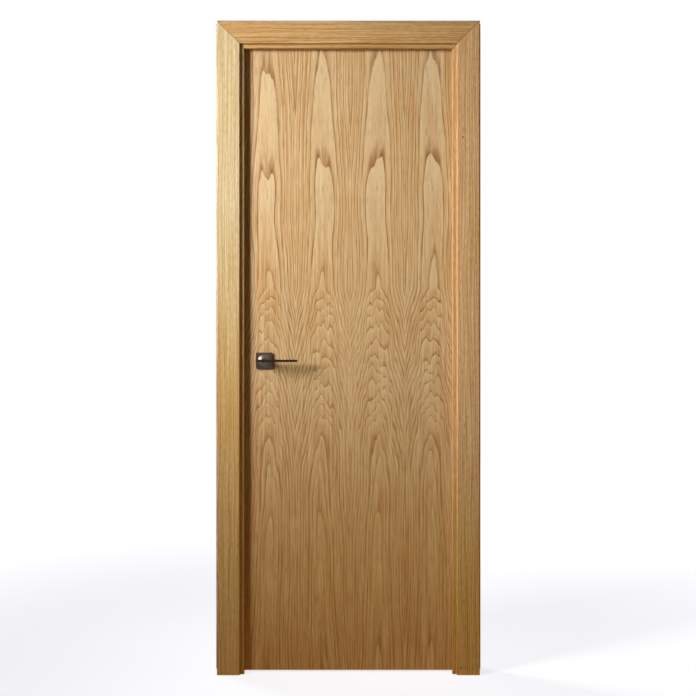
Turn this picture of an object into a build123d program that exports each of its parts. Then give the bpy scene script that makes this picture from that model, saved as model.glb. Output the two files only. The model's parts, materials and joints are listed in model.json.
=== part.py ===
from build123d import *
import os

# Interior door in its lining: a flush leaf on three knuckle hinges, opened by a lever on each face.
# X runs across the wall, Y through it to the side that the leaf opens to, and Z up.
# The origin is at floor level on the wall face of the hinge jamb, half way through the lining.

# Leaf
leaf_width = 725
leaf_height = 2110
leaf_thickness = 40
face_thickness = 4
lipping_thickness = 4
stile_width = 60
rail_height = 60
floor_gap = 8
leaf_gap = 5
spindle_bore = 16

# Lining and its stop
jamb_thickness = 40
stop_thickness = 16
stop_overlap = 12
seal_gap = 4
lining_arris = 3.5
rebate_arris = 1

# Architraves
architrave_width = 77
architrave_thickness = 10
architrave_arris = 3
front_reveal = 14
back_reveal = 8

# Seal in its groove
seal_width = 8
stem_width = 3
stem_length = 6
stem_clearance = 0.1
seal_clearance = 0.3

# Hinges
hinge_length = 100
hinge_ends = 190
hinge_plate_thickness = 2
hinge_plate_width = 28
hinge_plate_corner = 4
knuckle_radius = 6
knuckle_offset = 0.5
knuckle_count = 3
knuckle_gap = 0.4
pin_radius = 3
pin_clearance = 0.05
pin_head_height = 4

# Latch and strike plate
latch_plate_height = 57
latch_plate_width = 25
latch_plate_thickness = 2
latch_plate_corner = 4
latch_case_radius = 11
latch_case_past_spindle = 15
bolt_height = 14
bolt_width = 10
bolt_length = 30
latch_clearance = 0.3
strike_height = 76
strike_width = 30
strike_thickness = 2
strike_corner = 5
mouth_height = 20
mouth_width = 16
mouth_depth = 12

# Roses and levers
lever_height = 1055
lever_backset = 77.5
rose_size = 55
rose_thickness = 8
rose_corner = 4
rose_edge = 1.2
journal_radius = 9
journal_clearance = 0.05
collar_radius = 20
collar_gap = 0.4
collar_rim = 1.5
bevel_width = 10
bevel_rise = 4.2
neck_length = 34
neck_past_spindle = 12
bend_inside = 8
bend_outside = 5
bar_tail = 20
bar_reach = 115
bar_height = 8
bar_depth = 20
bar_edge = 1.2
spindle_size = 8
spindle_clearance = 0.05
spindle_insert = 13

# Places worked out from the sizes above
rebate_depth = stop_overlap + leaf_gap
opening_width = leaf_width - 2 * stop_overlap
opening_height = floor_gap + leaf_height - stop_overlap
jamb_depth = stop_thickness + seal_gap + leaf_thickness
centre_x = -(opening_width / 2 + jamb_thickness)
head_top = opening_height + jamb_thickness

jamb_front = -jamb_depth / 2
jamb_back = jamb_depth / 2
stop_back = jamb_front + stop_thickness
leaf_front = stop_back + seal_gap
leaf_back = leaf_front + leaf_thickness
leaf_middle = (leaf_front + leaf_back) / 2
core_thickness = leaf_thickness - 2 * face_thickness

leaf_hinge_edge = centre_x + leaf_width / 2
leaf_latch_edge = centre_x - leaf_width / 2
leaf_bottom = floor_gap
core_hinge_edge = leaf_hinge_edge - lipping_thickness
core_latch_edge = leaf_latch_edge + lipping_thickness

hinge_axis_x = leaf_hinge_edge + leaf_gap / 2
hinge_axis_y = leaf_back + knuckle_radius + knuckle_offset
hinge_rebate_face = leaf_hinge_edge + leaf_gap
latch_rebate_face = leaf_latch_edge - leaf_gap
hinge_centres = {
    "bottom": leaf_bottom + hinge_ends,
    "middle": leaf_bottom + leaf_height / 2,
    "top": leaf_bottom + leaf_height - hinge_ends,
}
knuckle_pitch = hinge_length / knuckle_count

spindle_x = leaf_latch_edge + lever_backset
rose_front = leaf_front - rose_thickness
latch_case_length = lever_backset - latch_plate_thickness + latch_case_past_spindle

os.makedirs("parts", exist_ok=True)


def keep_piece(part, name):
    """Label a finished piece and write it under its own name."""
    part.label = name
    export_step(part, f"parts/{name}.step")


def on_section(run, outward, depth):
    """Sketch point for a distance outward from the stop face and a depth through the wall."""
    if run == "head":
        return (depth, opening_height + outward)
    side = 1 if run == "hinge" else -1
    return (centre_x + side * (opening_width / 2 + outward), depth)


def cut_mitres(run):
    """Cut the piece in hand at 45 degrees where the head meets the hinge and latch jambs."""
    hinge_mitre = Plane(origin=(0, 0, head_top), z_dir=(-1, 0, 1))
    latch_mitre = Plane(origin=(2 * centre_x, 0, head_top), z_dir=(1, 0, 1))
    if run == "head":
        split(bisect_by=hinge_mitre, keep=Keep.TOP)
        split(bisect_by=latch_mitre, keep=Keep.TOP)
    elif run == "hinge":
        split(bisect_by=hinge_mitre, keep=Keep.BOTTOM)
    else:
        split(bisect_by=latch_mitre, keep=Keep.BOTTOM)


def section_plane(run):
    """Plane of a run's section: the floor for a jamb, the wall's centre line for the head."""
    return Plane.YZ.offset(centre_x) if run == "head" else Plane.XY


def carry_section(run):
    """Carry the sketched section past the corners of the frame, then mitre it."""
    past_corner = opening_width / 2 + jamb_thickness + architrave_width
    if run == "head":
        extrude(amount=past_corner, both=True)
    else:
        extrude(amount=head_top + architrave_width)
    cut_mitres(run)


def mitred_length(run, outline, arrises):
    """A moulding with the given outline and rounded corners, mitred to its neighbours."""
    with BuildPart() as piece:
        with BuildSketch(section_plane(run)) as section:
            with BuildLine():
                Polyline(*[on_section(run, *corner) for corner in outline], close=True)
            make_face()
            for corner, radius in arrises:
                fillet(section.vertices().sort_by_distance(on_section(run, *corner))[0], radius)
        carry_section(run)
    return piece.part


# Lining: a rebated section with a groove for the seal in the back of its stop
groove_middle = rebate_depth / 2
groove_half = stem_width / 2
lining_outline = [
    (0, jamb_front),
    (jamb_thickness, jamb_front),
    (jamb_thickness, jamb_back),
    (rebate_depth, jamb_back),
    (rebate_depth, stop_back),
    (groove_middle + groove_half, stop_back),
    (groove_middle + groove_half, stop_back - stem_length),
    (groove_middle - groove_half, stop_back - stem_length),
    (groove_middle - groove_half, stop_back),
    (0, stop_back),
]
lining_arrises = [
    ((0, jamb_front), lining_arris),
    ((0, stop_back), rebate_arris),
    ((rebate_depth, jamb_back), rebate_arris),
]

with BuildPart() as head_jamb:
    add(mitred_length("head", lining_outline, lining_arrises))
keep_piece(head_jamb.part, "head_jamb")


def draw_hinge_plate(sketch, height):
    """Draw a hinge plate's outline, with round inner corners, up to the back of the leaf."""
    with Locations((leaf_back, height)):
        Rectangle(hinge_plate_width, hinge_length, align=(Align.MAX, Align.CENTER))
    fillet(sketch.vertices().group_by(Axis.X)[0], hinge_plate_corner)


with BuildPart() as hinge_jamb:
    add(mitred_length("hinge", lining_outline, lining_arrises))
    for height in hinge_centres.values():
        with BuildSketch(Plane.YZ.offset(hinge_rebate_face)) as seat:
            draw_hinge_plate(seat, height)
        extrude(amount=hinge_plate_thickness, mode=Mode.SUBTRACT)
keep_piece(hinge_jamb.part, "hinge_jamb")

with BuildPart() as latch_jamb:
    add(mitred_length("latch", lining_outline, lining_arrises))
    with BuildSketch(Plane.YZ.offset(latch_rebate_face)):
        with Locations((leaf_middle, lever_height)):
            RectangleRounded(strike_width, strike_height, strike_corner)
    extrude(amount=-strike_thickness, mode=Mode.SUBTRACT)
    with BuildSketch(Plane.YZ.offset(latch_rebate_face)):
        with Locations((leaf_middle, lever_height)):
            Rectangle(mouth_width, mouth_height)
    extrude(amount=-mouth_depth, mode=Mode.SUBTRACT)
keep_piece(latch_jamb.part, "latch_jamb")

# Architraves on both faces of the wall, the ones behind set back to clear the hinge knuckles
back_inset = rebate_depth + back_reveal
front_face_y = jamb_front - architrave_thickness
back_face_y = jamb_back + architrave_thickness
board_edges = {
    "front": (front_reveal, jamb_front, front_face_y),
    "back": (back_inset, jamb_back, back_face_y),
}
for wall_side, (inner, seat, face) in board_edges.items():
    outer = inner + architrave_width
    board_outline = [(inner, seat), (outer, seat), (outer, face), (inner, face)]
    board_arrises = [((inner, face), architrave_arris), ((outer, face), architrave_arris)]
    for run in ("hinge", "latch", "head"):
        with BuildPart() as architrave:
            add(mitred_length(run, board_outline, board_arrises))
        keep_piece(architrave.part, f"{wall_side}_{run}_architrave")

# Seals: a stem pushed into the groove and a soft bulb that the leaf closes against
stem_half = groove_half - stem_clearance
bulb_half = seal_width / 2
stem_end = stop_back - stem_length + stem_clearance
for run in ("hinge", "latch", "head"):
    with BuildPart() as seal:
        with BuildSketch(section_plane(run)):
            with BuildLine():
                foot = Polyline(
                    on_section(run, groove_middle - bulb_half, stop_back),
                    on_section(run, groove_middle - stem_half, stop_back),
                    on_section(run, groove_middle - stem_half, stem_end),
                    on_section(run, groove_middle + stem_half, stem_end),
                    on_section(run, groove_middle + stem_half, stop_back),
                    on_section(run, groove_middle + bulb_half, stop_back),
                )
                ThreePointArc(
                    foot @ 1, on_section(run, groove_middle, leaf_front - seal_clearance), foot @ 0
                )
            make_face()
        carry_section(run)
    keep_piece(seal.part, f"{run}_seal")

# Leaf: two faces on a framed core, with a solid lipping down each long edge
for face_name, face_y in (("front_face", leaf_front), ("back_face", leaf_back - face_thickness)):
    with BuildPart() as leaf_face:
        with BuildSketch(Plane.XZ.offset(-face_y)):
            with Locations((centre_x, leaf_bottom + leaf_height / 2)):
                Rectangle(leaf_width - 2 * lipping_thickness, leaf_height)
            with Locations((spindle_x, lever_height)):
                Circle(spindle_bore / 2, mode=Mode.SUBTRACT)
        extrude(amount=-face_thickness)
    keep_piece(leaf_face.part, face_name)

with BuildPart() as hinge_lipping:
    with BuildSketch(Plane.XY.offset(leaf_bottom)):
        with Locations((leaf_hinge_edge, leaf_middle)):
            Rectangle(lipping_thickness, leaf_thickness, align=(Align.MAX, Align.CENTER))
    extrude(amount=leaf_height)
    for height in hinge_centres.values():
        with BuildSketch(Plane.YZ.offset(leaf_hinge_edge)) as seat:
            draw_hinge_plate(seat, height)
        extrude(amount=-hinge_plate_thickness, mode=Mode.SUBTRACT)
keep_piece(hinge_lipping.part, "hinge_lipping")

with BuildPart() as latch_lipping:
    with BuildSketch(Plane.XY.offset(leaf_bottom)):
        with Locations((leaf_latch_edge, leaf_middle)):
            Rectangle(lipping_thickness, leaf_thickness, align=(Align.MIN, Align.CENTER))
    extrude(amount=leaf_height)
    with BuildSketch(Plane.YZ.offset(leaf_latch_edge)):
        with Locations((leaf_middle, lever_height)):
            RectangleRounded(latch_plate_width, latch_plate_height, latch_plate_corner)
    extrude(amount=latch_plate_thickness, mode=Mode.SUBTRACT)
    with BuildSketch(Plane.YZ.offset(leaf_latch_edge)):
        with Locations((leaf_middle, lever_height)):
            Circle(latch_case_radius + latch_clearance)
    extrude(amount=lipping_thickness, mode=Mode.SUBTRACT)
keep_piece(latch_lipping.part, "latch_lipping")

with BuildPart() as hinge_stile:
    with BuildSketch(Plane.XY.offset(leaf_bottom)):
        with Locations((core_hinge_edge, leaf_middle)):
            Rectangle(stile_width, core_thickness, align=(Align.MAX, Align.CENTER))
    extrude(amount=leaf_height)
keep_piece(hinge_stile.part, "hinge_stile")

with BuildPart() as latch_stile:
    with BuildSketch(Plane.XY.offset(leaf_bottom)):
        with Locations((core_latch_edge, leaf_middle)):
            Rectangle(stile_width, core_thickness, align=(Align.MIN, Align.CENTER))
    extrude(amount=leaf_height)
    with BuildSketch(Plane.YZ.offset(core_latch_edge)):
        with Locations((leaf_middle, lever_height)):
            Circle(latch_case_radius + latch_clearance)
    extrude(amount=stile_width, mode=Mode.SUBTRACT)
keep_piece(latch_stile.part, "latch_stile")

rail_length = leaf_width - 2 * (lipping_thickness + stile_width)
core_height = leaf_height - 2 * rail_height
for rail_name, rail_bottom in (
    ("bottom_rail", leaf_bottom),
    ("top_rail", leaf_bottom + leaf_height - rail_height),
):
    with BuildPart() as rail:
        with BuildSketch(Plane.XY.offset(rail_bottom)):
            with Locations((centre_x, leaf_middle)):
                Rectangle(rail_length, core_thickness)
        extrude(amount=rail_height)
    keep_piece(rail.part, rail_name)

with BuildPart() as leaf_core:
    with BuildSketch(Plane.XY.offset(leaf_bottom + rail_height)):
        with Locations((centre_x, leaf_middle)):
            Rectangle(rail_length, core_thickness)
    extrude(amount=core_height)
    with BuildSketch(Plane.YZ.offset(leaf_latch_edge)):
        with Locations((leaf_middle, lever_height)):
            Circle(latch_case_radius + latch_clearance)
    extrude(
        amount=latch_plate_thickness + latch_case_length + latch_clearance, mode=Mode.SUBTRACT
    )
    with BuildSketch(Plane.XZ.offset(-leaf_middle)):
        with Locations((spindle_x, lever_height)):
            Circle(spindle_bore / 2)
    extrude(amount=core_thickness, both=True, mode=Mode.SUBTRACT)
keep_piece(leaf_core.part, "leaf_core")


def knuckle_middles(height, first):
    """Heights of every second knuckle of a hinge, counted from the given one."""
    lowest = height - hinge_length / 2 + knuckle_pitch / 2
    return [lowest + knuckle_pitch * step for step in range(first, knuckle_count, 2)]


def hinge_half(height, first, plate_face, plate_side):
    """A hinge plate let in flush with plate_face, rolled into every second knuckle."""
    knuckle_length = knuckle_pitch - knuckle_gap
    with BuildPart() as half:
        with BuildSketch(Plane.YZ.offset(plate_face)) as plate:
            draw_hinge_plate(plate, height)
            for middle in knuckle_middles(height, first):
                with Locations((hinge_axis_y, middle)):
                    Rectangle(
                        hinge_axis_y - leaf_back + hinge_plate_thickness,
                        knuckle_length,
                        align=(Align.MAX, Align.CENTER),
                    )
        extrude(amount=plate_side * hinge_plate_thickness)
        for middle in knuckle_middles(height, first):
            with Locations((hinge_axis_x, hinge_axis_y, middle)):
                Cylinder(knuckle_radius, knuckle_length)
        with Locations((hinge_axis_x, hinge_axis_y, height)):
            Cylinder(pin_radius + pin_clearance, hinge_length, mode=Mode.SUBTRACT)
    return half.part


# Hinges: a plate let into the jamb, a plate let into the leaf's edge and a headed pin between them
for place, height in hinge_centres.items():
    with BuildPart() as frame_plate:
        add(hinge_half(height, 0, hinge_rebate_face, 1))
    keep_piece(frame_plate.part, f"{place}_hinge_frame_plate")

    with BuildPart() as leaf_plate:
        add(hinge_half(height, 1, leaf_hinge_edge, -1))
    keep_piece(leaf_plate.part, f"{place}_hinge_leaf_plate")

    pin_low = height - hinge_length / 2
    pin_high = height + hinge_length / 2
    with BuildPart() as hinge_pin:
        with BuildSketch(Plane.XZ.offset(-hinge_axis_y)):
            with BuildLine():
                Polyline(
                    (hinge_axis_x, pin_low),
                    (hinge_axis_x + pin_radius, pin_low),
                    (hinge_axis_x + pin_radius, pin_high),
                    (hinge_axis_x + knuckle_radius, pin_high),
                    (hinge_axis_x + pin_radius, pin_high + pin_head_height),
                    (hinge_axis_x, pin_high + pin_head_height),
                    close=True,
                )
            make_face()
        revolve(axis=Axis((hinge_axis_x, hinge_axis_y, 0), (0, 0, 1)))
    keep_piece(hinge_pin.part, f"{place}_hinge_pin")

# Latch in the leaf's edge and the strike plate that faces it
with BuildPart() as latch_plate:
    with BuildSketch(Plane.YZ.offset(leaf_latch_edge)):
        with Locations((leaf_middle, lever_height)):
            RectangleRounded(latch_plate_width, latch_plate_height, latch_plate_corner)
            Rectangle(
                bolt_width + 2 * latch_clearance,
                bolt_height + 2 * latch_clearance,
                mode=Mode.SUBTRACT,
            )
    extrude(amount=latch_plate_thickness)
keep_piece(latch_plate.part, "latch_plate")

with BuildPart() as latch_case:
    with BuildSketch(Plane.YZ.offset(leaf_latch_edge + latch_plate_thickness)):
        with Locations((leaf_middle, lever_height)):
            Circle(latch_case_radius)
    extrude(amount=latch_case_length)
    with BuildSketch(Plane.YZ.offset(leaf_latch_edge + latch_plate_thickness)):
        with Locations((leaf_middle, lever_height)):
            Rectangle(bolt_width + 2 * latch_clearance, bolt_height + 2 * latch_clearance)
    extrude(amount=bolt_length - latch_plate_thickness, mode=Mode.SUBTRACT)
    with BuildSketch(Plane.XZ.offset(-leaf_middle)):
        with Locations((spindle_x, lever_height)):
            Circle(spindle_bore / 2)
    extrude(amount=latch_case_radius, both=True, mode=Mode.SUBTRACT)
keep_piece(latch_case.part, "latch_case")

with BuildPart() as latch_bolt:
    with BuildSketch(Plane.YZ.offset(leaf_latch_edge)):
        with Locations((leaf_middle, lever_height)):
            Rectangle(bolt_width, bolt_height)
    extrude(amount=bolt_length)
    chamfer(latch_bolt.edges().group_by(Axis.X)[0].sort_by(Axis.Y)[0], bolt_width / 2)
keep_piece(latch_bolt.part, "latch_bolt")

with BuildPart() as strike_plate:
    with BuildSketch(Plane.YZ.offset(latch_rebate_face)):
        with Locations((leaf_middle, lever_height)):
            RectangleRounded(strike_width, strike_height, strike_corner)
            Rectangle(mouth_width, mouth_height, mode=Mode.SUBTRACT)
    extrude(amount=-strike_thickness)
keep_piece(strike_plate.part, "strike_plate")

# Roses: square plates on the leaf with a bore that carries the lever's journal
with BuildPart() as front_rose:
    with BuildSketch(Plane.XZ.offset(-leaf_front)):
        with Locations((spindle_x, lever_height)):
            RectangleRounded(rose_size, rose_size, rose_corner)
    extrude(amount=rose_thickness)
    chamfer(front_rose.faces().sort_by(Axis.Y)[0].edges(), rose_edge)
    with BuildSketch(Plane.XZ.offset(-leaf_front)):
        with Locations((spindle_x, lever_height)):
            Circle(journal_radius + journal_clearance)
    extrude(amount=rose_thickness, mode=Mode.SUBTRACT)
keep_piece(front_rose.part, "front_rose")

leaf_mirror = Plane.XZ.offset(-leaf_middle)
with BuildPart() as back_rose:
    mirror(front_rose.part, about=leaf_mirror)
keep_piece(back_rose.part, "back_rose")

# Levers: a turned journal under a bevelled collar, and a flat blade that bends out of it into the bar
collar_back = rose_front - collar_gap
rim_front = collar_back - collar_rim
collar_front = rim_front - bevel_rise
bar_back = collar_back - neck_length
bar_front = bar_back - bar_depth
with BuildPart() as lever_blade:
    with BuildSketch(Plane.XY.offset(lever_height)) as plan:
        with BuildLine():
            Polyline(
                (spindle_x - bar_tail, rim_front),
                (spindle_x - bar_tail, bar_front),
                (spindle_x + bar_reach, bar_front),
                (spindle_x + bar_reach, bar_back),
                (spindle_x + neck_past_spindle, bar_back),
                (spindle_x + neck_past_spindle, rim_front),
                close=True,
            )
        make_face()
        chamfer(plan.vertices().sort_by_distance((spindle_x - bar_tail, bar_front))[0], bend_outside)
        chamfer(
            plan.vertices().sort_by_distance((spindle_x + neck_past_spindle, bar_back))[0],
            bend_inside,
        )
    extrude(amount=bar_height / 2, both=True)
    chamfer(lever_blade.faces().sort_by(Axis.Z)[0].edges(), bar_edge)
    chamfer(lever_blade.faces().sort_by(Axis.Z)[-1].edges(), bar_edge)

with BuildPart() as front_lever:
    with BuildSketch(Plane.XY.offset(lever_height)):
        with BuildLine():
            Polyline(
                (spindle_x, leaf_front),
                (spindle_x + journal_radius, leaf_front),
                (spindle_x + journal_radius, collar_back),
                (spindle_x + collar_radius, collar_back),
                (spindle_x + collar_radius, rim_front),
                (spindle_x + collar_radius - bevel_width, collar_front),
                (spindle_x, collar_front),
                close=True,
            )
        make_face()
    revolve(axis=Axis((spindle_x, leaf_middle, lever_height), (0, 1, 0)))
    add(lever_blade.part)
    with BuildSketch(Plane.XZ.offset(-leaf_front)):
        with Locations((spindle_x, lever_height)):
            Rectangle(spindle_size + 2 * spindle_clearance, spindle_size + 2 * spindle_clearance)
    extrude(amount=spindle_insert + spindle_clearance, mode=Mode.SUBTRACT)
keep_piece(front_lever.part, "front_lever")

with BuildPart() as back_lever:
    mirror(front_lever.part, about=leaf_mirror)
keep_piece(back_lever.part, "back_lever")

with BuildPart() as spindle:
    with BuildSketch(leaf_mirror):
        with Locations((spindle_x, lever_height)):
            Rectangle(spindle_size, spindle_size)
    extrude(amount=leaf_thickness / 2 + spindle_insert, both=True)
keep_piece(spindle.part, "spindle")
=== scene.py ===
# %% [markdown]
# # A flush oak door in its lining
# The door is already built at its real size, so this lesson gives it its looks: a camera, plain light,
# a finish for every surface, and the screws. The frame comes in metres, with X across the wall, Y through it
# and Z up. Nothing that is loaded here is moved or resized.

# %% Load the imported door
import json
import math

import bpy
import numpy as np
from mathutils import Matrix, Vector


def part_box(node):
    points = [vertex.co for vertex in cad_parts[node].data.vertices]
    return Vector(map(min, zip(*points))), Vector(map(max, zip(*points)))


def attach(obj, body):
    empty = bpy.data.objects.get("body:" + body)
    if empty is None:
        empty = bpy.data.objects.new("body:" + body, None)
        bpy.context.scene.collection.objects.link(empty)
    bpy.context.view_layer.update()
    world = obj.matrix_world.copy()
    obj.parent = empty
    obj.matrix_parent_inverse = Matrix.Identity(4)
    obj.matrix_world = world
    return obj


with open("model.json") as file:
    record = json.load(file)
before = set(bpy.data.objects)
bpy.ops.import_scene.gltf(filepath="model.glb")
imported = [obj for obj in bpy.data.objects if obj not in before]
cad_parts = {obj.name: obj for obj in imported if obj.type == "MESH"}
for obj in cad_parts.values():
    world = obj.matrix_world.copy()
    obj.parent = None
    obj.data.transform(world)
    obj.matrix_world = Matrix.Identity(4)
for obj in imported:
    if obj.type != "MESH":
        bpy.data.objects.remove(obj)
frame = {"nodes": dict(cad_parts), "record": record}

scene = bpy.context.scene
nodes = frame["nodes"]
MM = 0.001
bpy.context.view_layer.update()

# %% [markdown]
# ## Three small helpers
# Colours are picked as the hex values that an eye reads off a screen, and shaders work in linear light,
# so one function turns the first into the second. Another adds a node with its settings and links,
# which keeps each material down to the steps that matter. The third starts a material.

# %% Colour and node helpers
def linear(hex_colour):
    """Turn an sRGB hex value into linear red, green, blue and a full alpha."""
    parts = [int(hex_colour[i:i + 2], 16) / 255 for i in (1, 3, 5)]
    curve = [c / 12.92 if c <= 0.04045 else ((c + 0.055) / 1.055) ** 2.4 for c in parts]
    return (*curve, 1.0)


def add(tree, kind, feed=None, **settings):
    """Add a node, set its properties, and feed its inputs with values, nodes or sockets."""
    made = tree.nodes.new("ShaderNode" + kind)
    for name, value in settings.items():
        setattr(made, name, value)
    for name, value in (feed or {}).items():
        if isinstance(value, bpy.types.Node):
            value = value.outputs[0]
        if isinstance(value, bpy.types.NodeSocket):
            tree.links.new(value, made.inputs[name])
        else:
            made.inputs[name].default_value = value
    return made


def new_finish(name):
    """Start a material and return it with its tree, its shader and the piece's own coordinates."""
    made = bpy.data.materials.new(name)
    made.use_nodes = True
    tree = made.node_tree
    shader = tree.nodes["Principled BSDF"]
    place = add(tree, "TexCoord").outputs["Object"]
    return made, tree, shader, place


print("the screen's mid grey is", round(linear("#808080")[0], 3), "of white in linear light")

# %% [markdown]
# ## The camera
# The door was photographed square on, from about three metres, level with the middle of its height. A camera could be
# pushed about by eye until the view fits. Here the door's outer edges in the picture fix the scale in one step: the
# picture's width is so many times the door's own width. A normal lens at that distance gives the little perspective
# that shows under the head and at the foot.

# %% Camera square to the door
PICTURE = 696  # pixels each way
LEFT, RIGHT, TOP, FOOT = 217.0, 479.7, 19.7, 675.9  # outer edges of the architraves in the picture, in pixels
STAND_OFF = 3.3  # metres from the front of the architraves
SENSOR = 36  # mm

left_low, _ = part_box("front_latch_architrave")
_, right_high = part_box("front_hinge_architrave")
front_y = left_low.y
door_width = right_high.x - left_low.x
door_height = right_high.z
metres_per_pixel = (door_width / (RIGHT - LEFT) + door_height / (FOOT - TOP)) / 2
centre_x = (left_low.x + right_high.x) / 2
eye_x = centre_x + (PICTURE / 2 - (LEFT + RIGHT) / 2) * metres_per_pixel
eye_z = door_height / 2 + ((TOP + FOOT) / 2 - PICTURE / 2) * metres_per_pixel

lens = bpy.data.cameras.new("square_on")
lens.sensor_width = SENSOR
lens.lens = SENSOR * STAND_OFF / (PICTURE * metres_per_pixel)
camera = bpy.data.objects.new("square_on", lens)
camera.location = (eye_x, front_y - STAND_OFF, eye_z)
camera.rotation_euler = (math.radians(90), 0, 0)
scene.collection.objects.link(camera)
scene.camera = camera
scene.view_settings.view_transform = "Standard"
print("lens", round(lens.lens, 1), "mm, eye at", [round(v, 3) for v in camera.location])

# %% [markdown]
# ## Two soft lamps
# A soft lamp stands high on the left, so the door is brightest at its top left corner, the architrave
# throws a narrow shadow on the lining, and the lining throws a wider one on the leaf. A sun would light the whole door
# alike and give hard edges, so a large rectangle was chosen, with a narrow beam that leaves the foot of the door a
# little darker. A weaker twin stands as high behind the door, where the picture doesn't show it, so that the other side
# can be looked at too.

# %% Lamps
LAMP_FROM_LEVER = (-2.22, -1.76, 1.25)  # metres to the left, to the front and up
LAMP_AIM = (-0.48, 0.0, 1.62)  # a place high on the leaf, left of its middle
LAMP_WIDTH, LAMP_HEIGHT = 0.9, 1.5
LAMP_SPREAD = 62  # degrees
LAMP_WATTS = 20.3
BACK_SHARE = 0.8

spindle_low, spindle_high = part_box("spindle")
lever_place = (spindle_low + spindle_high) / 2
for name, way, share in (("front_softbox", 1, 1.0), ("back_softbox", -1, BACK_SHARE)):
    lamp_data = bpy.data.lights.new(name, "AREA")
    lamp_data.shape = "RECTANGLE"
    lamp_data.size, lamp_data.size_y = LAMP_WIDTH, LAMP_HEIGHT
    lamp_data.spread = math.radians(LAMP_SPREAD)
    lamp_data.energy = LAMP_WATTS * share
    lamp = bpy.data.objects.new(name, lamp_data)
    lamp.location = lever_place + Vector(LAMP_FROM_LEVER) * Vector((1, way, 1))
    lamp.rotation_euler = (Vector(LAMP_AIM) - lamp.location).to_track_quat("-Z", "Y").to_euler()
    scene.collection.objects.link(lamp)
    print(name, round(lamp_data.energy, 1), "W at", [round(v, 2) for v in lamp.location])

# %% [markdown]
# ## White surroundings
# A brighter world would turn the background white too, but it would wash out the wood. So the white is only for the
# eye and for reflections: Light Path tells those rays from the ones that carry light to the wood. The light that
# comes from all round is low and warm, as it would be in a room with wooden boards.

# %% Surroundings
FILL = 0.038
FILL_TINT = "#ffa352"


def eye_and_reflections(tree):
    """1 for a ray from the eye, off a gloss or through glass, and 0 for one that carries light to a dull surface."""
    ray = add(tree, "LightPath")
    seen = add(tree, "Math", {0: ray.outputs["Is Camera Ray"], 1: ray.outputs["Is Glossy Ray"]}, operation="MAXIMUM")
    return add(tree, "Math", {0: seen, 1: ray.outputs["Is Transmission Ray"]}, operation="MAXIMUM")


world = bpy.data.worlds.new("white_studio")
world.use_nodes = True
sky = world.node_tree
sky.nodes.clear()
seen = eye_and_reflections(sky)
level = add(sky, "MapRange", {0: seen, 3: FILL, 4: 1.0})
tint = add(sky, "Mix", {0: seen, 6: linear(FILL_TINT), 7: (1, 1, 1, 1)}, data_type="RGBA")
glow = add(sky, "Background", {"Color": tint.outputs[2], "Strength": level})
add(sky, "OutputWorld", {"Surface": glow})
scene.world = world
print("light from all round:", FILL, "of the white that the eye sees")

# %% [markdown]
# ## The floor
# To the eye the floor is a plain pale sheet that takes the door's shadow and fades into the white background.
# A curved backdrop would hide the horizon as well, but one flat face that glows more towards its rim needs no curve.
# The light that the floor throws back on to the wood is golden, as it is from pale oak boards.

# %% Floor
FLOOR_HALF = 6.0
FLOOR_SEEN, FLOOR_BOUNCE, FLOOR_GLOW = "#bcbcbc", "#e8c060", "#f8faff"
GLOW_NEAR, GLOW_FAR = 0.82, 1.0  # strength of the glow by the door, and where the floor has become the background
FADE_FROM, FADE_TO = 0.8, 2.8  # metres from the door


def pale_floor():
    """Matt paint: dull, and pale to the eye all over, with a soft grey shadow by the door."""
    made, tree, shader, place = new_finish("pale_studio_floor")
    shader.inputs["Roughness"].default_value = 0.9
    seen = eye_and_reflections(tree)
    colour = add(tree, "Mix", {0: seen, 6: linear(FLOOR_BOUNCE), 7: linear(FLOOR_SEEN)}, data_type="RGBA")
    tree.links.new(colour.outputs[2], shader.inputs["Base Color"])
    away = add(tree, "VectorMath", {0: place, 1: (centre_x, 0, 0)}, operation="DISTANCE").outputs["Value"]
    fade = add(
        tree, "MapRange", {0: away, 1: FADE_FROM, 2: FADE_TO, 3: GLOW_NEAR, 4: GLOW_FAR},
        interpolation_type="SMOOTHSTEP",
    )
    lift = add(tree, "Math", {0: seen, 1: fade}, operation="MULTIPLY")
    shader.inputs["Emission Color"].default_value = linear(FLOOR_GLOW)
    tree.links.new(lift.outputs[0], shader.inputs["Emission Strength"])
    return made


floor_mesh = bpy.data.meshes.new("studio_floor")
corners = np.array([(-1, -1, 0), (1, -1, 0), (1, 1, 0), (-1, 1, 0)]) * FLOOR_HALF + (centre_x, 0, 0)
floor_mesh.from_pydata(corners.tolist(), [], [(0, 1, 2, 3)])
floor_mesh.materials.append(pale_floor())
floor = bpy.data.objects.new("studio_floor", floor_mesh)
scene.collection.objects.link(floor)
print("floor", 2 * FLOOR_HALF, "m each way")

# %% [markdown]
# ## Crown-cut oak veneer: four slices of one log
# The leaf is faced with four strips of veneer, sliced one after another from the same log and opened like the pages
# of a book, so each strip mirrors its neighbour. A pattern that is only laid over the leaf can't do that, so the
# place across the leaf is folded to and fro, one strip each way, and all that follows is drawn in the log.

# %% Strips and streaks
STRIP_WIDTH = 186 * MM
JOINT_FROM_CENTRE = 5.5 * MM
SLICE_APART = 5 * MM  # thicker than a real slice, so that each strip differs a little from its neighbour
LOG_DEPTH = 20  # mm, the depth of a streak in the log


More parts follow.
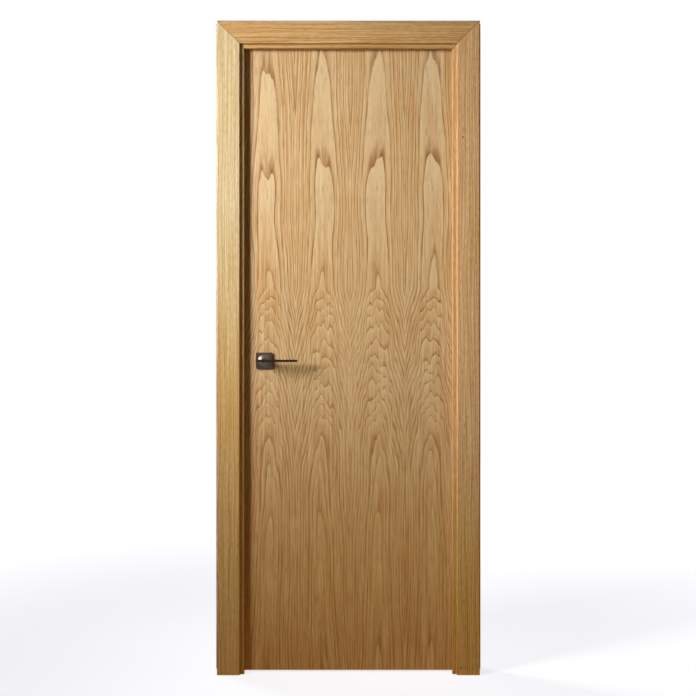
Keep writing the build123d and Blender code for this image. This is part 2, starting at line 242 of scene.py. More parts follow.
def slices_of_log(tree, place):
    """Fold the width of the leaf: the way from the middle joint swings between nothing and one strip's width."""
    xyz = add(tree, "SeparateXYZ", {0: place})
    across, height = xyz.outputs[0], xyz.outputs[2]
    from_joint = add(tree, "Math", {0: across, 1: centre_x + JOINT_FROM_CENTRE}, operation="SUBTRACT")
    page = add(tree, "Math", {0: from_joint, 1: STRIP_WIDTH}, operation="PINGPONG")
    sideways = add(tree, "Math", {0: page, 1: STRIP_WIDTH / 2}, operation="SUBTRACT")
    strips = add(tree, "Math", {0: from_joint, 1: STRIP_WIDTH}, operation="DIVIDE")
    strip_number = add(tree, "Math", {0: strips}, operation="FLOOR")
    slice_depth = add(tree, "Math", {0: strip_number, 1: SLICE_APART}, operation="MULTIPLY")
    log = add(tree, "CombineXYZ", {0: sideways, 1: slice_depth, 2: height})
    return sideways, height, strip_number, log


def streaks(tree, where, size, detail=1.0, roughness=0.5):
    """Noise in patches of a size across, deep and along, in millimetres.

    Its values lie mostly between 0.3 and 0.7, so the limits that cut it into fibres, pores and gaps lie there too.
    """
    scaled = add(tree, "VectorMath", {0: where, 1: tuple(1 / (s * MM) for s in size)}, operation="MULTIPLY")
    return add(tree, "TexNoise", {"Vector": scaled, "Scale": 1.0, "Detail": detail, "Roughness": roughness})


print("strips", round(STRIP_WIDTH / MM), "mm wide, middle joint", round(JOINT_FROM_CENTRE / MM, 1), "mm off centre")

# %% [markdown]
# ## Arches round the heart
# A slice that misses the heart of the log by a little cuts the yearly rings as nested arches, because the trunk
# narrows upwards. At the height of the lever the trunk swells, which packs the arches into a jagged flame. Above it
# they open into broad, blunt, pale crowns with brown smudges between them, and below it they run out in calm streaks.
# Bands of a wave texture could be bent into arches, but they wouldn't nest as rings do. So two masks say which part
# a height belongs to, and the distance from the heart gives the arch itself.

# %% Flame and crowns
FLAME_IN, FLAME_OUT = (0.55, 0.85), (1.20, 1.34)  # heights in metres between which it comes in and goes out
CROWN_IN = (1.36, 1.68)


def trunk_zones(tree, height):
    """How far a height lies in the flame, and in the crowns above it, each from 0 to 1."""
    into = add(tree, "MapRange", {0: height, 1: FLAME_IN[0], 2: FLAME_IN[1]}, interpolation_type="SMOOTHSTEP")
    out = add(
        tree, "MapRange", {0: height, 1: FLAME_OUT[0], 2: FLAME_OUT[1], 3: 1.0, 4: 0.0},
        interpolation_type="SMOOTHSTEP",
    )
    flame = add(tree, "Math", {0: into, 1: out}, operation="MULTIPLY")
    crown = add(tree, "MapRange", {0: height, 1: CROWN_IN[0], 2: CROWN_IN[1]}, interpolation_type="SMOOTHSTEP")
    return flame, crown


print("flame from", FLAME_IN[0], "to", FLAME_OUT[1], "m, crowns from", CROWN_IN[0], "m")

# %% Distance from the heart
HEART_BEND = 24 * MM  # the heart wanders so far to each side
HEART_MISS = 27 * MM
FLAME_WIDTH, CROWN_WIDTH = 16 * MM, 13 * MM  # what the miss gains there
FLAME_WIDENS = (0.55, 0.95)  # heights in metres
BLUNT_CORNER = 3.0  # power of the lean in the crowns


def arches(tree, log, sideways, height, crown):
    """Distance from the heart: the root of the squares of the way aside and of the miss, less the miss.

    That gives pointed arches. In the crowns it is the fourth root of the fourth powers, which makes them blunt.
    The lean is 0 on top of an arch and 1 along its legs, and it stays low further out where the arch is blunt.
    """
    bend = add(tree, "MapRange", {0: streaks(tree, log, (300, LOG_DEPTH, 450)), 3: -HEART_BEND, 4: HEART_BEND})
    from_heart = add(tree, "Math", {0: sideways, 1: bend}, operation="ADD")
    miss = add(
        tree, "MapRange",
        {0: height, 1: FLAME_WIDENS[0], 2: FLAME_WIDENS[1], 3: HEART_MISS, 4: HEART_MISS + FLAME_WIDTH},
        interpolation_type="SMOOTHSTEP",
    )
    miss = add(tree, "MapRange", {0: crown, 3: miss, 4: HEART_MISS + CROWN_WIDTH})

    sides = add(tree, "CombineXYZ", {0: from_heart, 1: miss})
    pointed = add(tree, "VectorMath", {0: sides}, operation="LENGTH").outputs["Value"]
    squares = add(tree, "VectorMath", {0: sides, 1: sides}, operation="MULTIPLY")
    blunt = add(tree, "VectorMath", {0: squares}, operation="LENGTH").outputs["Value"]
    blunt = add(tree, "Math", {0: blunt, 1: 0.5}, operation="POWER")
    reach = add(tree, "MapRange", {0: crown, 3: pointed, 4: blunt})
    heart = add(tree, "Math", {0: reach, 1: miss}, operation="SUBTRACT")

    lean = add(tree, "Math", {0: from_heart, 1: reach}, operation="DIVIDE")
    lean = add(tree, "Math", {0: lean}, operation="ABSOLUTE")
    corner = add(tree, "MapRange", {0: crown, 3: 1.0, 4: BLUNT_CORNER})
    lean = add(tree, "Math", {0: lean, 1: corner}, operation="POWER")
    return from_heart, heart, lean


print("slices miss the heart by", round(HEART_MISS / MM), "to", round((HEART_MISS + FLAME_WIDTH) / MM), "mm")

# %% [markdown]
# ## Closing the arches
# The ring that a point lies on is its distance from the heart plus a rise with height. The faster the rise, the closer
# the arches stand over each other: it is slow for most of the height and fast in the flame, where it starts softly,
# so that the flame has no hard lower edge. Waves and jags then make every arch a little uneven, as growth does.

# %% Rise with height
TRUNK_TAPER = 0.024  # metres for each metre of height
FIRST_RING = -1.4 * MM
FLAME_LOW, FLAME_HIGH = 0.74, 1.30  # heights in metres
FLAME_RISE = 100 * MM
FLAME_FADE = 36 * MM  # how softly that starts
CROWN_LOW, CROWN_HIGH = 1.25, 2.15  # heights in metres
CROWN_RISE = 5.4 * MM
SLICE_STEP = 0.4 * MM  # each slice lies so much further out in the log
FIRST_SLICE = -1.5 * SLICE_STEP


def rise_with_height(tree, height, strip_number):
    """The trunk's taper, the flame's rise with its soft start, the crowns' slow rise and the slice's own, added up."""
    taper = add(tree, "Math", {0: height, 1: TRUNK_TAPER, 2: FIRST_RING}, operation="MULTIPLY_ADD")
    swell = add(tree, "MapRange", {0: height, 1: FLAME_LOW, 2: FLAME_HIGH, 3: 0.0, 4: FLAME_RISE}, clamp=False)
    swell = add(tree, "Math", {0: swell, 1: 0.0, 2: FLAME_FADE}, operation="SMOOTH_MAX")
    swell = add(tree, "Math", {0: swell, 1: FLAME_RISE}, operation="MINIMUM")
    upper = add(
        tree, "MapRange", {0: height, 1: CROWN_LOW, 2: CROWN_HIGH, 3: 0.0, 4: CROWN_RISE},
        interpolation_type="SMOOTHSTEP",
    )
    later = add(tree, "Math", {0: strip_number, 1: -SLICE_STEP, 2: FIRST_SLICE}, operation="MULTIPLY_ADD")
    rise = taper
    for part in (swell, upper, later):
        rise = add(tree, "Math", {0: rise, 1: part}, operation="ADD")
    return rise


print("the arches close by", round(FLAME_RISE / MM), "mm through the flame")

# %% Waves, a second peak and jags
WAVE_FOOT, WAVE_FLAME, WAVE_CROWN = 7 * MM, 14 * MM, 6 * MM
WAVE_GROWS = (0.4, 0.9)  # heights in metres
SHOULDER_AT = -36 * MM  # the second peak, from the heart
SHOULDER_LIFT = 4.0 * MM
SHOULDER_TOP, SHOULDER_FOOT = 2 * MM, 24 * MM  # half widths of that peak
JAG_HEART, JAG_SIDE, JAG_CALM = 22 * MM, 4 * MM, 3 * MM  # near the heart, away from it, and outside the flame
JAG_NEAR, JAG_FAR = 48 * MM, 88 * MM


def unevenness(tree, log, height, from_heart, flame, crown):
    """Three shifts of the rings: long waves everywhere, and in the flame a second peak and jags near the heart."""
    wave_size = add(tree, "MapRange", {0: height, 1: WAVE_GROWS[0], 2: WAVE_GROWS[1], 3: WAVE_FOOT, 4: WAVE_FLAME})
    wave_size = add(tree, "MapRange", {0: crown, 3: wave_size, 4: WAVE_CROWN})
    wave = add(tree, "Math", {0: streaks(tree, log, (50, LOG_DEPTH, 320)), 1: 0.5}, operation="SUBTRACT")
    wave = add(tree, "Math", {0: wave, 1: wave_size}, operation="MULTIPLY")

    beside = add(tree, "Math", {0: from_heart, 1: SHOULDER_AT}, operation="SUBTRACT")
    beside = add(tree, "Math", {0: beside}, operation="ABSOLUTE")
    lift = add(
        tree, "MapRange", {0: beside, 1: SHOULDER_TOP, 2: SHOULDER_FOOT, 3: -SHOULDER_LIFT, 4: 0.0},
        interpolation_type="SMOOTHSTEP",
    )
    lift = add(tree, "Math", {0: lift, 1: flame}, operation="MULTIPLY")

    off_centre = add(tree, "Math", {0: from_heart}, operation="ABSOLUTE")
    jag_size = add(tree, "MapRange", {0: off_centre, 1: JAG_NEAR, 2: JAG_FAR, 3: JAG_HEART, 4: JAG_SIDE})
    jag_size = add(tree, "MapRange", {0: flame, 3: JAG_CALM, 4: jag_size})
    jag = add(tree, "Math", {0: streaks(tree, log, (22, LOG_DEPTH, 120)), 1: 0.5}, operation="SUBTRACT")
    jag = add(tree, "Math", {0: jag, 1: jag_size}, operation="MULTIPLY")
    return wave, lift, jag


print("jags up to", round(JAG_HEART / MM), "mm near the heart,", round(JAG_CALM / MM), "mm outside the flame")

# %% [markdown]
# ## Lines of open pores
# Oak starts each year with wide pores, which show as a dark line, and pales through the summer. So a point's ring
# number is split: the whole part says which year, the rest how far through it. The real rings are about 2 mm apart.
# Groups of them are drawn, 9.5 mm apart, because single ones wouldn't show from here.

# %% Rings
RING_GROUP = 9.5 * MM
RING_DRIFT, DRIFT_LENGTH = 0.65, 2.5 * RING_GROUP  # good and bad years: rings wander by this share of their spacing


def year_rings(tree, radius):
    """Which ring a point lies on, and how far through it from 0 to 1: the radius over the spacing, and a slow drift."""
    rings = add(tree, "Math", {0: radius, 1: RING_GROUP}, operation="DIVIDE")
    drift = add(tree, "Math", {0: radius, 1: DRIFT_LENGTH}, operation="DIVIDE")
    drift = add(tree, "TexNoise", {"W": drift, "Scale": 1.0, "Detail": 1.0}, noise_dimensions="1D")
    drift = add(tree, "MapRange", {0: drift, 3: RING_DRIFT, 4: -RING_DRIFT})
    rings = add(tree, "Math", {0: rings, 1: drift}, operation="ADD")
    year = add(tree, "Math", {0: rings}, operation="FLOOR")
    within = add(tree, "Math", {0: rings}, operation="FRACT")
    return year, within


print("groups of rings", round(RING_GROUP / MM, 1), "mm apart")

# %% Pore lines
LINE_WIDTH = 5.8 * MM
ARCH_SLOPE = 0.3  # how steep an arch is taken to be where it turns over
WEAKEST_YEAR = 0.45  # how dark the palest line is
SPRING_WOOD = 0.36  # share of a ring
PATCHY_FOOT, PATCHY_CROWN = 0.5, 0.85  # how dark the patches of spring wood are
FADED_EDGE, FADED_LINE = (-90 * MM, -50 * MM), 0.25  # where a line fades across the strip, and what is left of it


def pore_lines(tree, log, year, within, lean, sideways, flame, crown):
    """How open the pores are, from 0 to 1.

    A line falls off from the start of its ring. Its width is measured square to it, so that it stays a line where
    the arch turns over. Patches of spring wood join it, and in the flame it fades towards one edge of the strip.
    """
    steep = add(tree, "CombineXYZ", {0: lean, 1: ARCH_SLOPE})
    steep = add(tree, "VectorMath", {0: steep}, operation="LENGTH").outputs["Value"]
    from_line = add(tree, "Math", {0: within, 1: steep}, operation="DIVIDE")
    line = add(
        tree, "MapRange", {0: from_line, 1: 0.0, 2: LINE_WIDTH / RING_GROUP, 3: 1.0, 4: 0.0},
        interpolation_type="SMOOTHSTEP",
    )
    vigour = add(tree, "TexWhiteNoise", {"W": year}, noise_dimensions="1D")
    vigour = add(tree, "MapRange", {0: vigour, 3: WEAKEST_YEAR, 4: 1.0})
    gaps = streaks(tree, log, (20, LOG_DEPTH, 100))
    broken = add(tree, "MapRange", {0: gaps, 1: 0.3, 2: 0.6, 3: 0.35, 4: 1.0})
    for share in (vigour, broken):
        line = add(tree, "Math", {0: line, 1: share}, operation="MULTIPLY")

    patchy = add(tree, "MapRange", {0: crown, 3: PATCHY_FOOT, 4: PATCHY_CROWN})
    spring = add(
        tree, "MapRange", {0: within, 1: 0.0, 2: SPRING_WOOD, 3: patchy, 4: 0.0}, interpolation_type="SMOOTHSTEP"
    )
    hair = add(tree, "MapRange", {0: streaks(tree, log, (11, LOG_DEPTH, 120), 3.0), 1: 0.38, 2: 0.56})
    hair = add(tree, "Math", {0: spring, 1: hair}, operation="MULTIPLY")
    line = add(tree, "Math", {0: line, 1: hair}, operation="MAXIMUM")
    edge = add(tree, "MapRange", {0: sideways, 1: FADED_EDGE[0], 2: FADED_EDGE[1], 3: FADED_LINE, 4: 1.0})
    edge = add(tree, "MapRange", {0: flame, 3: 1.0, 4: edge})
    return add(tree, "Math", {0: line, 1: edge}, operation="MULTIPLY")


print("lines of pores", round(LINE_WIDTH / MM, 1), "mm wide")

# %% [markdown]
# ## The veneer's colours
# One colour ramp over the ring number could colour it all, but then every mark would follow the rings. Layers let each
# mark keep its own run: the ground is a pale and a deeper gold in long fibres, and over it lie warm streaks, the calm
# middle of each crown, the late summer wood, the dark lines and the single pores, in that order. Towards the foot the
# colour is tinted golden: painted warm shade, standing in for the warmer, dimmer light there. A clear matt lacquer
# seals the wood, so it shines softly, and less where the pores are open.

# %% Painted warm shade towards the foot
# painted warm shade towards the foot of the leaf's veneer
VENEER_FOOT_SHADE = ("#fff5dc", 0.25, 0.95)  # tint, and the heights in metres where it is full and where it starts


def paint_warm_foot_shade(tree, colour, height, tint, full, start):
    """Paint warm shade: tint a wood's colour towards the foot, from the height where that starts to where it is full.
    """
    foot_shade = add(tree, "MapRange", {0: height, 1: full, 2: start, 3: 1.0, 4: 0.0}, interpolation_type="SMOOTHSTEP")
    return add(
        tree, "Mix", {0: foot_shade, 6: colour.outputs[2], 7: linear(tint)}, data_type="RGBA", blend_type="MULTIPLY"
    )


print("the veneer turns golden below", VENEER_FOOT_SHADE[2], "m")

# %% Veneer for both faces of the leaf
LACQUER_IOR = 1.27  # below the 1.5 of a glossy lacquer, because a matt one scatters much of what it reflects
VENEER_PALE, VENEER_DEEP = "#e6c896", "#c99b60"


def oak_veneer():
    """Sliced oak under clear matt lacquer: broad pale crowns between dark pore lines, feathered at mid height.

    Fibres, pores and streaks are drawn a few millimetres wide, coarser than real ones, so that they show.
    """
    made, tree, shader, place = new_finish("crown_cut_oak_veneer")
    sideways, height, strip_number, log = slices_of_log(tree, place)
    flame, crown = trunk_zones(tree, height)
    from_heart, heart, lean = arches(tree, log, sideways, height, crown)
    radius = add(tree, "Math", {0: heart, 1: rise_with_height(tree, height, strip_number)}, operation="ADD")
    for shift in unevenness(tree, log, height, from_heart, flame, crown):
        radius = add(tree, "Math", {0: radius, 1: shift}, operation="ADD")
    year, within = year_rings(tree, radius)
    line = pore_lines(tree, log, year, within, lean, sideways, flame, crown)

    fibre = streaks(tree, log, (4.5, LOG_DEPTH, 220), 4.0, 0.65)
    pore = add(tree, "MapRange", {0: streaks(tree, log, (2.4, LOG_DEPTH, 45), 2.0), 1: 0.54, 2: 0.74})
    blush = add(tree, "MapRange", {0: streaks(tree, log, (26, LOG_DEPTH, 220), 2.0), 1: 0.50, 2: 0.72, 4: 0.65})
    calm = add(tree, "MapRange", {0: lean, 1: 0.3, 2: 0.75, 3: 0.45, 4: 0.0}, interpolation_type="SMOOTHSTEP")
    calm = add(tree, "Math", {0: calm, 1: crown}, operation="MULTIPLY")
    contrast = add(tree, "MapRange", {0: height, 1: 0.4, 2: 1.1, 3: 0.6, 4: 1.0})
    late = add(tree, "MapRange", {0: within, 1: 0.45, 2: 1.0, 3: 0.0, 4: 0.42}, interpolation_type="SMOOTHSTEP")
    late = add(tree, "Math", {0: late, 1: contrast}, operation="MULTIPLY")
    dark = add(tree, "Math", {0: line, 1: contrast}, operation="MULTIPLY")
    specks = add(tree, "Math", {0: pore, 1: 0.5}, operation="MULTIPLY")

    tone = add(tree, "MapRange", {0: fibre, 1: 0.37, 2: 0.65})
    colour = add(tree, "Mix", {0: tone, 6: linear(VENEER_PALE), 7: linear(VENEER_DEEP)}, data_type="RGBA")
    layers = ((blush, "#cd9a5f"), (calm, "#e8cca0"), (late, "#efd6a6"), (dark, "#97612d"), (specks, "#8f5f33"))
    for share, tint in layers:
        colour = add(tree, "Mix", {0: share, 6: colour.outputs[2], 7: linear(tint)}, data_type="RGBA")
    # painted warm shade: the colour is tinted golden towards the foot
    colour = paint_warm_foot_shade(tree, colour, height, *VENEER_FOOT_SHADE)
    tree.links.new(colour.outputs[2], shader.inputs["Base Color"])

    rough = add(tree, "MapRange", {0: line, 3: 0.46, 4: 0.6})
    tree.links.new(rough.outputs[0], shader.inputs["Roughness"])
    shader.inputs["IOR"].default_value = LACQUER_IOR
    relief = add(tree, "Math", {0: line, 1: pore}, operation="ADD")
    relief = add(tree, "Bump", {"Height": relief, "Strength": 0.3, "Distance": 0.3 * MM}, invert=True)
    tree.links.new(relief.outputs[0], shader.inputs["Normal"])
    return made


veneer = oak_veneer()
print(veneer.name, "in", len(veneer.node_tree.nodes), "nodes")

# %% [markdown]
# ## Straight-grained oak
# The lining and the architraves are planed lengths whose grain runs straight along them, upright on the jambs and level
# on the head. Each came from its own tree, so it has its own tone. The upright ones are tinted golden towards the foot
# as painted warm shade, and the lining's hinge jamb is painted darker as shade in its corner. Boxes with one shared
# pattern would all carry the same lines. So one function makes every board: it turns the pattern to the length and
# shifts it, and no two boards share their lines.
# The mitres show as a thin dark line where end grain drank the lacquer, and two pin holes are stopped with dark filler.

# %% Mitres and stopped pins
STOPPED_PINS = ((-0.006, front_y, 1.8055), (-0.011, front_y, 0.0246))  # metres, on the front hinge architrave
head_low, head_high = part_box("head_jamb")
mitre_height = head_high.z - (head_high.x - head_low.x) / 2


def mitred(tree, colour, aside_x, height):
    """Darken the cut that runs out of each upper corner at 45 degrees, where height less the way aside is constant."""
    aside = add(tree, "Math", {0: aside_x, 1: centre_x}, operation="SUBTRACT")
    aside = add(tree, "Math", {0: aside}, operation="ABSOLUTE")
    cut = add(tree, "Math", {0: height, 1: aside}, operation="SUBTRACT")
    cut = add(tree, "Math", {0: cut, 1: mitre_height}, operation="SUBTRACT")
    cut = add(tree, "Math", {0: cut}, operation="ABSOLUTE")
    seam = add(tree, "MapRange", {0: cut, 1: 0.6 * MM, 2: 2.6 * MM, 3: 0.7, 4: 0.0}, interpolation_type="SMOOTHSTEP")
    return add(tree, "Mix", {0: seam, 6: colour.outputs[2], 7: linear("#6e4a24")}, data_type="RGBA")


def pinned(tree, colour, place, pins):
    """Darken a small round spot at each pin."""
    for pin in pins:
        away = add(tree, "VectorMath", {0: place, 1: pin}, operation="DISTANCE").outputs["Value"]
        spot = add(tree, "MapRange", {0: away, 1: 1.5 * MM, 2: 4.5 * MM, 3: 0.75, 4: 0.0})
        colour = add(tree, "Mix", {0: spot, 6: colour.outputs[2], 7: linear("#4a2f14")}, data_type="RGBA")
    return colour


print("the two mitre lines would meet at", round(mitre_height, 3), "m, stopped pins:", len(STOPPED_PINS))

# %% Straight lines
LINE_PITCH = 7 * MM  # groups of rings again, coarser than real ones so that they show
GRAIN_SWAY = 26 * MM


def straight_lines(tree, board):
    """How dark the lines along a board are: each falls off from the start of its ring, and the rings sway a little."""
    sway = streaks(tree, board, (60, 60, 700), 1.5)
    sway = add(tree, "MapRange", {0: sway, 3: -GRAIN_SWAY, 4: GRAIN_SWAY})
    xyz = add(tree, "SeparateXYZ", {0: board})
    inward = add(tree, "Math", {0: xyz.outputs[0], 1: xyz.outputs[1]}, operation="ADD")
    radius = add(tree, "Math", {0: inward, 1: sway}, operation="ADD")
    rings = add(tree, "Math", {0: radius, 1: LINE_PITCH}, operation="DIVIDE")
    within = add(tree, "Math", {0: rings}, operation="FRACT")
    year = add(tree, "Math", {0: rings}, operation="FLOOR")
    vigour = add(tree, "TexWhiteNoise", {"W": year}, noise_dimensions="1D")
    falling = add(tree, "MapRange", {0: within, 1: 0.0, 2: 0.6, 3: 1.0, 4: 0.0}, interpolation_type="SMOOTHSTEP")
    return add(tree, "Math", {0: falling, 1: vigour}, operation="MULTIPLY")


print("lines of straight oak", round(LINE_PITCH / MM), "mm apart, swaying", round(GRAIN_SWAY / MM), "mm to each side")

# %% Oak for jambs and architraves
FIBRE, FLECK = (4, 4, 250), (3, 3, 22)  # mm across, deep and along


def straight_oak(name, level_grain, shift, pale, deep, foot_shade, pins=()):
    """Straight oak under satin lacquer: close dark lines along the length, in a warm pale ground."""
    made, tree, shader, place = new_finish(name)
    turn = (0, math.radians(90), 0) if level_grain else (0, 0, 0)
    board = add(tree, "Mapping", {"Vector": place, "Rotation": turn, "Location": (shift, shift * 0.7, shift * 1.3)})
    line = straight_lines(tree, board)

    fibre = streaks(tree, board, FIBRE, 4.0, 0.6)
    fleck = streaks(tree, board, FLECK, 2.0)
    grain = add(tree, "Math", {0: fleck, 1: 0.6, 2: fibre}, operation="MULTIPLY_ADD")
    tone = add(tree, "MapRange", {0: grain, 1: 0.65, 2: 0.97})
    colour = add(tree, "Mix", {0: tone, 6: linear(pale), 7: linear(deep)}, data_type="RGBA")
    dark = add(tree, "Math", {0: line, 1: 0.75}, operation="MULTIPLY")
    colour = add(tree, "Mix", {0: dark, 6: colour.outputs[2], 7: linear("#a3723b")}, data_type="RGBA")
    own = add(tree, "SeparateXYZ", {0: place})
    colour = mitred(tree, colour, own.outputs[0], own.outputs[2])
    # painted warm shade: the upright boards are tinted golden towards the foot
    colour = paint_warm_foot_shade(tree, colour, own.outputs[2], *foot_shade)
    colour = pinned(tree, colour, place, pins)
    tree.links.new(colour.outputs[2], shader.inputs["Base Color"])

    rough = add(tree, "MapRange", {0: line, 3: 0.44, 4: 0.56})
    tree.links.new(rough.outputs[0], shader.inputs["Roughness"])
    shader.inputs["IOR"].default_value = LACQUER_IOR
    relief = add(tree, "Bump", {"Height": line, "Strength": 0.2, "Distance": 0.2 * MM}, invert=True)
    tree.links.new(relief.outputs[0], shader.inputs["Normal"])
    return made


print("fibres", FIBRE[0], "mm wide, flecks", FLECK[2], "mm long")

# %% One oak for each board
# shift of the pattern in metres, pale and deep wood, and the tint of the painted warm shade at the foot with the
# heights where it is full and starts
boards = {
    "hinge": (0.31, "#f0cb96", "#cd9d62", ("#f7f2c4", 0.15, 0.85)),
    "latch": (1.72, "#e5d5aa", "#cdab74", ("#ffebc6", 0.8, 1.6)),
    "head": (2.90, "#dfb980", "#c29354", ("#ffffff", 0.0, 1.0)),
}
PLACE_SHIFT = {"front": 0.0, "back": 5.3, "lining": 9.1}  # metres between the boards of the three places
HINGE_LINING_PAINTED_SHADE = ("#dbb47f", "#c19258")  # painted shade: the lining's hinge jamb is darker than its architrave, standing in for the shade in its corner

board_oak = {}
for place_name, extra in PLACE_SHIFT.items():
    for run, (shift, pale, deep, foot_shade) in boards.items():
        # painted shade on the lining's hinge jamb
        if (place_name, run) == ("lining", "hinge"):
            pale, deep = HINGE_LINING_PAINTED_SHADE
        pins = STOPPED_PINS if (place_name, run) == ("front", "hinge") else ()
        board_oak[place_name, run] = straight_oak(
            f"straight_oak_{place_name}_{run}", run == "head", shift + extra, pale, deep, foot_shade, pins
        )
print("lengths of straight oak:", len(board_oak))

# %% [markdown]
# ## The leaf's inside
# Only the ends of the leaf's softwood frame and of its pressed core show, at the top and the foot of the leaf. Rings
# would be lost on such narrow ends, so soft lines along the wood do for the one, and for the other cells of a few
# millimetres, each with its own brown.

# %% Softwood frame
def sawn_pine():
    """Unfinished softwood: pale, matt, with soft lines along the length."""
    made, tree, shader, place = new_finish("sawn_pine")
    grain = streaks(tree, place, (6, 4, 200), 3.0)
    tone = add(tree, "MapRange", {0: grain, 1: 0.35, 2: 0.7})
    colour = add(tree, "Mix", {0: tone, 6: linear("#e2c79a"), 7: linear("#c99f68")}, data_type="RGBA")
    tree.links.new(colour.outputs[2], shader.inputs["Base Color"])
    shader.inputs["Roughness"].default_value = 0.75
    relief = add(tree, "Bump", {"Height": grain, "Strength": 0.3, "Distance": 0.3 * MM})
    tree.links.new(relief.outputs[0], shader.inputs["Normal"])
    return made


pine = sawn_pine()
print(pine.name, "in", len(pine.node_tree.nodes), "nodes")

# %% Pressed core
def pressed_core():
    """Raw chipboard: flakes a few millimetres long, each its own brown."""
    made, tree, shader, place = new_finish("pressed_chipboard")
    flake = add(tree, "TexVoronoi", {"Vector": place, "Scale": 1 / (4 * MM)})
    tone = add(tree, "SeparateColor", {0: flake.outputs["Color"]})
    colour = add(tree, "Mix", {0: tone, 6: linear("#b08a57"), 7: linear("#7d5c38")}, data_type="RGBA")
    tree.links.new(colour.outputs[2], shader.inputs["Base Color"])
    shader.inputs["Roughness"].default_value = 0.85
    relief = add(tree, "Bump", {"Height": tone, "Strength": 0.5, "Distance": 0.4 * MM})
    tree.links.new(relief.outputs[0], shader.inputs["Normal"])
    return made


chipboard = pressed_core()
print(chipboard.name, "in", len(chipboard.node_tree.nodes), "nodes")

# %% [markdown]
# ## The seal
# A strip of dark brown rubber is pressed into the stop of the lining, and the leaf closes against it. Plain black
# would look like a gap, so it keeps a trace of brown and a little dust, which the eye reads as rubber.

# %% Seal
def seal_rubber():
    """Extruded brown rubber: dull, with a faint bloom of dust."""
    made, tree, shader, place = new_finish("extruded_brown_rubber")
    dust = add(tree, "TexNoise", {"Vector": place, "Scale": 1 / (25 * MM), "Detail": 4.0})
    tone = add(tree, "MapRange", {0: dust, 1: 0.4, 2: 0.75})
    colour = add(tree, "Mix", {0: tone, 6: linear("#3b2716"), 7: linear("#523a26")}, data_type="RGBA")
    tree.links.new(colour.outputs[2], shader.inputs["Base Color"])
    rough = add(tree, "MapRange", {0: dust, 3: 0.55, 4: 0.75})
    tree.links.new(rough.outputs[0], shader.inputs["Roughness"])
    return made


rubber = seal_rubber()
print(rubber.name, "in", len(rubber.node_tree.nodes), "nodes")

# %% [markdown]
# ## The metals
# The hinges, the latch and the strike are brushed steel, and the roses and levers are plated in a dark nickel. Brushing
# could be left to the shader's anisotropy, but then a close look would find no scratches. So noise is drawn out to
# long thin scratches that change the roughness and the surface a little, which spreads the highlight across them.
# They are drawn coarser than real ones, so that they show.

# %% Brushed metal
SCRATCH_LONG, SCRATCH_THIN = 30, 0.6  # mm
LEVEL_BRUSHING = (SCRATCH_LONG, SCRATCH_LONG, SCRATCH_THIN)
UPRIGHT_BRUSHING = (SCRATCH_THIN, SCRATCH_THIN, SCRATCH_LONG)


def plated_metal(name, bright, dull, rough_low, rough_high, brush):
    """Brushed and plated metal: fine scratches along one way spread the highlight across them."""
    made, tree, shader, place = new_finish(name)
    shader.inputs["Metallic"].default_value = 1.0
    scratch = streaks(tree, place, brush, 3.0)
    patch = add(tree, "TexNoise", {"Vector": place, "Scale": 1 / (18 * MM), "Detail": 2.0})
    tone = add(tree, "MapRange", {0: patch, 1: 0.35, 2: 0.7})
    colour = add(tree, "Mix", {0: tone, 6: linear(bright), 7: linear(dull)}, data_type="RGBA")
    tree.links.new(colour.outputs[2], shader.inputs["Base Color"])
    rough = add(tree, "MapRange", {0: scratch, 1: 0.3, 2: 0.7, 3: rough_low, 4: rough_high})
    tree.links.new(rough.outputs[0], shader.inputs["Roughness"])
    relief = add(tree, "Bump", {"Height": scratch, "Strength": 0.08, "Distance": 0.05 * MM})
    tree.links.new(relief.outputs[0], shader.inputs["Normal"])
    return made


dark_nickel = plated_metal("dark_satin_nickel", "#5a4d45", "#43372f", 0.30, 0.44, LEVEL_BRUSHING)
satin_steel = plated_metal("brushed_satin_steel", "#a19d97", "#86827c", 0.34, 0.50, UPRIGHT_BRUSHING)
print("metals:", dark_nickel.name, "and", satin_steel.name)

# %% [markdown]
# ## The levers
# On each lever the turned collar by the rose is a little brighter, and the blade is painted darker: a painted dark
# reflection, standing in for the dim surroundings that its face mirrors. The two are one casting, so the change is
# drawn in the plating, by the distance from the leaf, and not by a second material.

# %% Plating of the levers
BLADE_FROM, BLADE_FULL = 46 * MM, 60 * MM  # from the middle of the spindle


def paint_dark_blade_reflection(made):
    """Paint a dark reflection: darken the plating away from the leaf, so the turned collar shines and the blade is
    dark.
    """
    tree = made.node_tree
    shader = tree.nodes["Principled BSDF"]
    plating = shader.inputs["Base Color"].links[0].from_socket
    xyz = add(tree, "SeparateXYZ", {0: add(tree, "TexCoord").outputs["Object"]})
    out = add(tree, "Math", {0: xyz.outputs[1], 1: lever_place.y}, operation="SUBTRACT")
    out = add(tree, "Math", {0: out}, operation="ABSOLUTE")
    blade = add(tree, "MapRange", {0: out, 1: BLADE_FROM, 2: BLADE_FULL})
    # painted dark reflection: the blade is darkened, standing in for the dim surroundings that it mirrors
    colour = add(tree, "Mix", {0: blade, 6: plating, 7: linear("#33291f")}, data_type="RGBA")
    tree.links.new(colour.outputs[2], shader.inputs["Base Color"])


lever_nickel = plated_metal("dark_nickel_on_cast_levers", "#695c52", "#50443b", 0.32, 0.46, LEVEL_BRUSHING)
paint_dark_blade_reflection(lever_nickel)
print(lever_nickel.name, "is black from", round(BLADE_FULL / MM), "mm out")

# %% [markdown]
# ## Giving each piece its finish
# A CAD piece keeps its mesh and only has the material in its slot changed. Picking the pieces one by one would do it
# too, but the name of a piece already says where it is, so the boards can be told apart by it.

